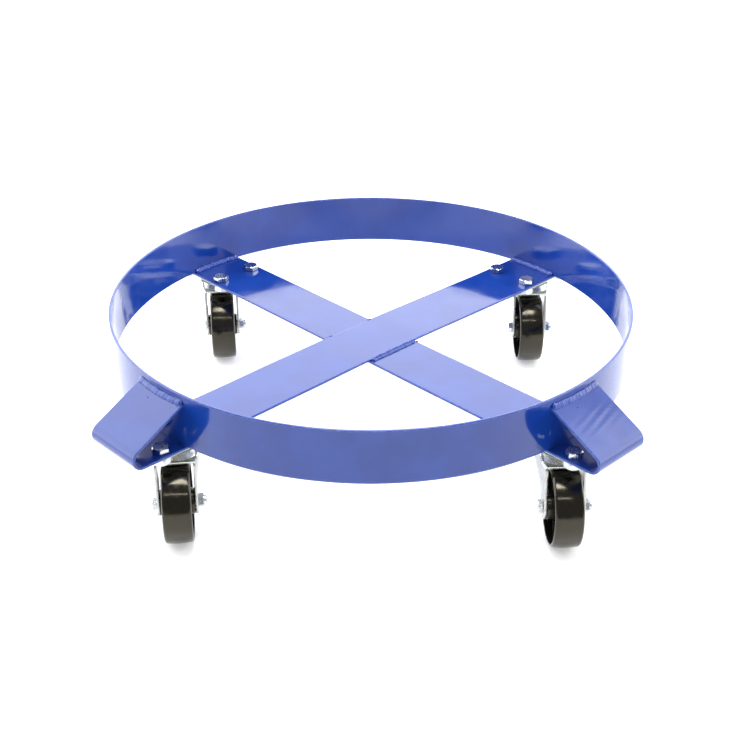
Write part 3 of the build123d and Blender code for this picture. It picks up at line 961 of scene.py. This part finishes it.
# Casters
@dataclass
class SwivelFork:
    """Pressed fork: a raised round race in the middle, legs bowed round it, and round feet at the axle."""

    inner_half: float = 19.0
    sheet: float = 2.8
    front: float = -33.0
    back: float = 22.0
    bow: float = 5.6
    crown_top: float = -10.8
    shoulder: float = -17.4
    crown_radius: float = 26.3
    crown_foot: float = 31.0
    pin_hole: float = 6.3
    bend: float = 3.2
    trail: float = 31.0
    drop: float = 68.0
    foot: float = 14.0

    def half_width(self, y: Array, z: Array) -> Array:
        """Outer face of a leg: a parabola across the leg that fades out towards the axle."""
        bulge = np.clip(self.bow - 0.00368 * (y - 6.0) ** 2, 0.0, None)
        return self.inner_half + self.sheet + bulge * smooth_step((z + 60.0) / 42.0)

    def crown(self, radius: Array) -> Array:
        """Height of the pressing at a distance from the swivel axis: a level race, then an eased fall."""
        fall = smooth_step((radius - self.crown_radius) / (self.crown_foot - self.crown_radius))
        return self.crown_top + (self.shoulder - self.crown_top) * fall

    def front_edge(self, z: Array) -> Array:
        """Front edge of a leg: a straight slope to the round foot."""
        slope = np.interp(z, [-self.drop + 2.38, self.shoulder], [-self.trail - 13.79, self.front])
        rounded = -self.trail - np.sqrt(np.clip(self.foot ** 2 - (z + self.drop) ** 2, 0.0, None))
        return np.where(z < -self.drop + 2.38, rounded, slope)

    def back_edge(self, z: Array) -> Array:
        """Back edge of a leg: a short hip, an eased sweep forwards, then the round foot."""
        hip = np.interp(z, [-33.0, self.shoulder], [20.0, self.back])
        sweep = 20.0 - 38.0 * smooth_step((-33.0 - z) / 29.8)
        rounded = -self.trail + np.sqrt(np.clip(self.foot ** 2 - (z + self.drop) ** 2, 0.0, None))
        return np.where(z > -33.0, hip, np.where(z < -62.8, rounded, sweep))

    def top(self, outline: Array) -> Array:
        """Race and shoulders, from the pin hole out to an outline.

        Args:
            outline: array (n, 2) of the boundary where the sheet starts to bend down or ends.

        Returns:
            Array (rows, n, 3): straight rays, with the height taken from the distance to the axis.
        """
        reach = np.linalg.norm(outline, axis=1)
        share = np.linspace(0.0, 1.0, 44)[:, None]
        radius = self.pin_hole + (reach - self.pin_hole) * share
        plan = outline[None] / reach[None, :, None] * radius[..., None]
        return np.concatenate([plan, self.crown(radius)[..., None]], -1)

    def leg(self, side: float, y: Array) -> Array:
        """One leg with the bend at its top.

        Args:
            side: +1 or -1.
            y: where each column leaves the top's outline.

        Returns:
            Array (rows, len(y), 3): a quarter arc, then levels that sweep from the top's edge to the foot.
        """
        wide = self.half_width(y, np.full_like(y, self.shoulder))
        start = self.crown(np.hypot(wide - self.bend, y))
        arc = np.radians(np.linspace(0.0, 90.0, 7))[:-1, None]
        bend = np.stack([
            side * (wide - self.bend + self.bend * np.sin(arc)),
            np.broadcast_to(y, (6, len(y))),
            start - self.bend + self.bend * np.cos(arc),
        ], -1)
        foot = -self.drop - self.foot * np.sin(np.radians(np.linspace(14.0, 86.0, 14)))
        level = np.concatenate([np.linspace(self.shoulder - self.bend, -self.drop - 2.0, 40), foot])[:, None]
        lift = (start - self.shoulder) * smooth_step((level + 34.0) / 13.4)
        z = level + lift
        share = (y - self.front) / (self.back - self.front)
        low, high = self.front_edge(level), self.back_edge(level)
        across = low + share * (high - low)
        return np.concatenate([bend, np.stack([side * self.half_width(across, level), across, z], -1)])

    def shell(self) -> Shell:
        """Outer face of the whole pressing, open at its rims until it is given its thickness."""
        y = np.linspace(self.front, self.back, 46)
        wide = self.half_width(y, np.full_like(y, self.shoulder)) - self.bend
        right, left = np.stack([wide, y], 1), np.stack([-wide, y], 1)[::-1]
        back = np.stack([np.linspace(wide[-1], -wide[-1], 40), np.full(40, self.back)], 1)[1:-1]
        front = np.stack([np.linspace(-wide[0], wide[0], 32), np.full(32, self.front)], 1)[1:-1]
        shell = Shell().grid(self.top(np.concatenate([right, back, left, front])), wrap_v=True)
        shell.grid(self.leg(1.0, y))
        return shell.grid(self.leg(-1.0, y)[:, ::-1])


@dataclass
class MouldedWheelBody:
    """Hard wheel with a smooth tread, dished sides, a hub and ribs."""

    radius: float = 45.0
    tread: float = 31.0
    crown: float = 0.8
    shoulder: float = 3.4
    bore: float = 6.5
    hub: float = 14.0
    hub_half: float = 18.6
    recess: float = 40.6
    web_half: float = 4.5
    ribs: int = 6
    rib_thick: float = 3.0
    rib_half: float = 11.0

    def profile(self) -> tuple[Array, Array]:
        """Closed section of the wheel, as radius and place along the axle.

        Returns:
            Array (n, 2), and marks (n,) that are 1 on the rim's lip and -1 in the dish: arcs at the hub end,
            the web's fillets, the lip and the shoulder, and a parabola over the crowned tread, mirrored to
            the other side.
        """
        half = self.tread / 2
        lip = half - 0.5
        flat = half - self.shoulder
        level = np.linspace(flat - 0.8, 0.4, 10)
        parts = [
            (np.array([[self.bore, self.hub_half - 0.5], [self.bore + 0.5, self.hub_half]]), 0.0),
            (arc_points((self.hub - 1.2, self.hub_half - 1.2), 1.2, 90, 0, 6), 0.0),
            (arc_points((self.hub + 3.0, self.web_half + 2.2), 2.2, 180, 270, 6), -1.0),
            (arc_points((self.recess - 2.4, self.web_half + 2.2), 2.2, 270, 360, 6), -1.0),
            (np.array([[self.recess, lip - 0.6]]), -1.0),
            (arc_points((self.recess + 0.5, lip), 0.5, 180, 90, 5), 1.0),
            (arc_points((self.radius - self.crown - self.shoulder, flat), self.shoulder, 84, 7, 14), 0.0),
            (np.stack([self.radius - self.crown * (level / flat) ** 2, level], 1), 0.0),
        ]
        one = np.concatenate([p for p, _ in parts])
        mark = np.concatenate([np.full(len(p), m) for p, m in parts])
        return np.concatenate([one, one[::-1] * [1.0, -1.0]]), np.concatenate([mark, mark[::-1]])

    def shell(self) -> Shell:
        """Turn the section about the axle and add the ribs; the axle lies along X through the origin."""
        profile, mark = self.profile()
        turned = revolve(profile, 144)[..., [2, 0, 1]]
        shell = Shell().grid(turned, wrap_u=True, wrap_v=True, edge=np.broadcast_to(mark, turned.shape[:2]))
        outline, _ = rounded_bar_outline(self.rib_thick, 2 * self.rib_half, 0.9, 1, 4)
        reach = np.linspace(self.hub - 1.0, self.recess + 0.5, 8)[:, None]
        rib = np.stack([reach + 0 * outline[:, 0], outline[:, 0] + 0 * reach, outline[:, 1] + 0 * reach], -1)
        for index in range(self.ribs):
            spin = placed(0, 0, 0, 360.0 * index / self.ribs)
            placed_rib = (rib @ spin[:3, :3].T)[..., [2, 0, 1]]
            shell.add(Shell().grid(placed_rib, wrap_v=True, edge=np.full(rib.shape[:2], -1.0), caps=True))
        return shell


@dataclass
class Caster:
    """One swivel caster under a bar end."""

    corner: Corner
    direction: float
    heading: float
    circle: float = 292.5
    height: float = 113.0
    trail: float = 31.0
    drop: float = 68.0
    fork_half: float = 21.8
    flats: float = 13.0
    head_height: float = 5.3
    nut_height: float = 6.2
    collar: float = 2.1
    reach: float = 31.4
    shank: float = 4.0
    fork: SwivelFork = field(default_factory=SwivelFork)
    wheel: MouldedWheelBody = field(default_factory=MouldedWheelBody)

    def place(self) -> Array:
        """Matrix of the fork: turned to its heading under the end of the bar."""
        angle = math.radians(self.direction)
        return placed(self.circle * math.cos(angle), self.circle * math.sin(angle), self.height, self.heading)

    def on_axle(self, side: float, turn: float = 0.0) -> Array:
        """Matrix that lays a part made about +Z on the axle, its +Z towards one side.

        Args:
            side: +1 for the nut's side, -1 for the head's side.
            turn: turn about its own axis in degrees.

        Returns:
            4x4 matrix in the dolly's frame.
        """
        lie = np.eye(4)
        lie[:3, :3] = [[0, 0, side], [0, 1, 0], [-side, 0, 0]]
        lie[:3, 3] = [0.0, -self.trail, -self.drop]
        return self.place() @ lie @ placed(0, 0, 0, turn)

    def build(self, palette: Palette) -> None:
        """Make the fork, the wheel, the axle bolt and its nut, and dress the parts kept from the CAD."""
        name, turning = self.corner.value, f"{self.corner.value}_fork_turning"
        title = name.title()
        fork = Shell().add(self.fork.shell(), self.place()).piece(
            f"{title}_swivel_fork", turning, palette.sheet, Slot.ZINC_SHEET, [f"{name}_swivel_fork"], 50.0)
        wall = fork.modifiers.new("sheet_thickness", "SOLIDIFY")
        wall.thickness, wall.offset = self.fork.sheet * MM, -1.0
        rim = fork.modifiers.new("deburred_rim", "BEVEL")
        rim.width, rim.segments, rim.limit_method, rim.angle_limit = 0.45 * MM, 2, "ANGLE", math.radians(60.0)
        axle = placed(0, 0, 0)
        axle[:3, 3] = [0.0, -self.trail, -self.drop]
        Shell().add(self.wheel.shell(), self.place() @ axle).piece(
            f"{title}_wheel", f"{name}_wheel_turning", palette.wheel, Slot.WHEEL, [f"{name}_wheel"], 45.0)
        head = Hexagon(self.flats, self.head_height, self.shank)
        bolt = Shell().add(head.head(), self.on_axle(-1.0, 17.0) @ placed(0, 0, self.fork_half))
        bolt.add(head.thread(-self.reach, -20.0, 1.25), self.on_axle(-1.0))
        plain = revolve(np.array([[self.shank, -20.0], [self.shank, self.fork_half + 0.4]]), 32).transpose(1, 0, 2)
        bolt.add(Shell().grid(plain, wrap_v=True, caps=True), self.on_axle(-1.0))
        bolt.piece(f"{title}_axle_bolt", turning, palette.fastener, Slot.FASTENER, [f"{name}_axle_bolt"], 25.0)
        nut = Hexagon(self.flats, self.nut_height, self.shank).nut(self.collar)
        Shell().add(nut, self.on_axle(1.0, 8.0) @ placed(0, 0, self.fork_half)).piece(
            f"{title}_axle_nut", turning, palette.fastener, Slot.FASTENER, [f"{name}_axle_nut"], 25.0)
        for part, material in (("top_plate", palette.sheet), ("dust_ring", palette.race), ("lower_race", palette.race),
                               ("king_pin", palette.race), ("bearing_balls", palette.balls),
                               ("axle_sleeve", palette.balls)):
            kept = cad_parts[f"{name}_{part}"]
            kept.data.materials.clear()
            kept.data.materials.append(material)
            log.info("%s_%s: kept from the CAD, now %s", name, part, material.name)


# Studio
@dataclass(frozen=True)
class Softbox:
    """Rectangular studio light, placed in the viewer's frame: X right, Y away from the viewer, Z up."""

    name: str
    place: tuple[float, float, float]
    aim: tuple[float, float, float]
    width: float
    depth: float
    radiance: float
    colour: str = "#FFFFFF"

    def build(self, turn: Matrix) -> None:
        """Make the light; its power is pi times area times radiance.

        Args:
            turn: rotation from the viewer's frame to the dolly's.
        """
        data = bpy.data.lights.new(self.name, "AREA")
        data.shape, data.size, data.size_y = "RECTANGLE", self.width, self.depth
        data.energy = math.pi * self.width * self.depth * self.radiance
        data.color = linear(self.colour)[:3]
        lamp = bpy.data.objects.new(self.name, data)
        place, aim = turn @ Vector(self.place), turn @ Vector(self.aim)
        away = (aim - place).normalized()
        sideways = away.cross(Vector((0.0, 0.0, 1.0)))
        across = sideways.normalized() if sideways.length > 1e-4 else turn @ Vector((1.0, 0.0, 0.0))
        up = across.cross(away).normalized()
        lamp.matrix_world = Matrix.Translation(place) @ Matrix((across, up, -away)).transposed().to_4x4()
        bpy.context.scene.collection.objects.link(lamp)


@dataclass
class Studio:
    """White paper sweep, softboxes and the camera."""

    heading: float = -43.98
    roll: tuple[float, float, float] = (-29.54, -0.12, -0.20)
    eye: tuple[float, float, float] = (-0.94918, -0.98362, 0.8427)
    lens: float = 61.79
    world: float = 0.32
    boxes: tuple[Softbox, ...] = (
        Softbox("Overhead_softbox", (0.0, -0.25, 2.1), (0.0, -0.25, 0.0), 1.2, 0.5, 14.0),
        Softbox("Thin_strip", (0.0, -2.5, 3.2), (0.0, 0.0, 0.1), 2.4, 0.12, 12.0),
        Softbox("Back_wall", (0.0, 3.0, 1.6), (0.0, 0.0, 0.4), 5.0, 2.8, 2.75),
        Softbox("Left_wall", (-2.47, 0.8, 1.7), (0.0, 0.0, 1.7), 3.0, 3.4, 3.3),
        Softbox("Right_wall", (2.58, 0.32, 1.7), (0.0, 0.0, 1.7), 1.645, 3.4, 3.5),
        Softbox("Right_dim_wall", (2.166, 1.603, 1.7), (0.503, 0.492, 1.7), 1.13, 3.4, 1.3),
    )

    def floor(self, palette: Palette) -> None:
        """Lay a large sheet that curls up behind: flat, then a quarter circle, then upright."""
        run = np.concatenate([np.linspace(-9.0, 6.0, 40), 6.0 + 3.0 * np.sin(np.radians(np.linspace(4, 90, 22)))])
        rise = np.concatenate([np.zeros(40), 3.0 - 3.0 * np.cos(np.radians(np.linspace(4, 90, 22)))])
        across = np.linspace(-9.0, 9.0, 30)
        points = np.stack(np.broadcast_arrays(across[None, :], run[:, None], rise[:, None]), -1)
        turn = placed(0, 0, 0, self.heading)[:3, :3]
        mesh = bpy.data.meshes.new("Paper_sweep")
        index = np.arange(run.size * across.size).reshape(run.size, across.size)
        quads = np.stack([index[:-1, :-1], index[:-1, 1:], index[1:, 1:], index[1:, :-1]], -1).reshape(-1, 4)
        mesh.from_pydata((points @ turn.T).reshape(-1, 3), [], quads.tolist())
        mesh.shade_smooth()
        mesh.materials.append(palette.floor)
        sweep = bpy.data.objects.new("Paper_sweep", mesh)
        bpy.context.scene.collection.objects.link(sweep)

    def camera(self) -> None:
        """Stand the camera at the viewer's eye."""
        tilt, lean, swing = (math.radians(angle) for angle in self.roll)
        aim = (Matrix.Rotation(math.radians(self.heading) + swing, 4, "Z") @ Matrix.Rotation(tilt, 4, "X")
               @ Matrix.Rotation(lean, 4, "Y") @ Matrix.Rotation(math.pi / 2, 4, "X"))
        data = bpy.data.cameras.new("Camera")
        data.lens, data.sensor_width = self.lens, 36.0
        data.clip_start, data.clip_end = 0.01, 60.0
        camera = bpy.data.objects.new("Camera", data)
        camera.matrix_world = Matrix.Translation(Vector(self.eye)) @ aim
        bpy.context.scene.collection.objects.link(camera)
        bpy.context.scene.camera = camera

    def build(self, palette: Palette) -> None:
        """Set up floor, lights, world and camera."""
        scene = bpy.context.scene
        turn = Matrix.Rotation(math.radians(self.heading), 3, "Z")
        self.floor(palette)
        for box in self.boxes:
            box.build(turn)
        scene.world = bpy.data.worlds.new("White_room")
        scene.world.use_nodes = True
        background = scene.world.node_tree.nodes["Background"]
        background.inputs["Color"].default_value = linear("#FFFFFF")
        background.inputs["Strength"].default_value = self.world
        scene.view_settings.view_transform = "Standard"
        self.camera()


def main() -> None:
    """Build the dolly and its studio."""
    logging.basicConfig(level=logging.INFO, format="%(name)s %(message)s")
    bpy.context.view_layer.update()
    palette = Palette.mix()
    Studio().build(palette)
    RingBand().build(palette)
    CrossBar("Cross_bar_upper", "cross_bar_upper", hump=3.0, turn=0.0).build(palette)
    CrossBar("Cross_bar_lower", "cross_bar_lower", hump=0.0, turn=90.0, ripple_ends=(1.0, 0.2)).build(palette)
    Welds().build(palette)
    PlateFasteners().build(palette)
    for caster in (
        Caster(Corner.FRONT_LEFT, 180.0, -37.0), Caster(Corner.FRONT_RIGHT, 270.0, -41.5),
        Caster(Corner.BACK_LEFT, 90.0, -37.5), Caster(Corner.BACK_RIGHT, 0.0, -43.0),
    ):
        caster.build(palette)


if __name__ == "__main__":
    main()
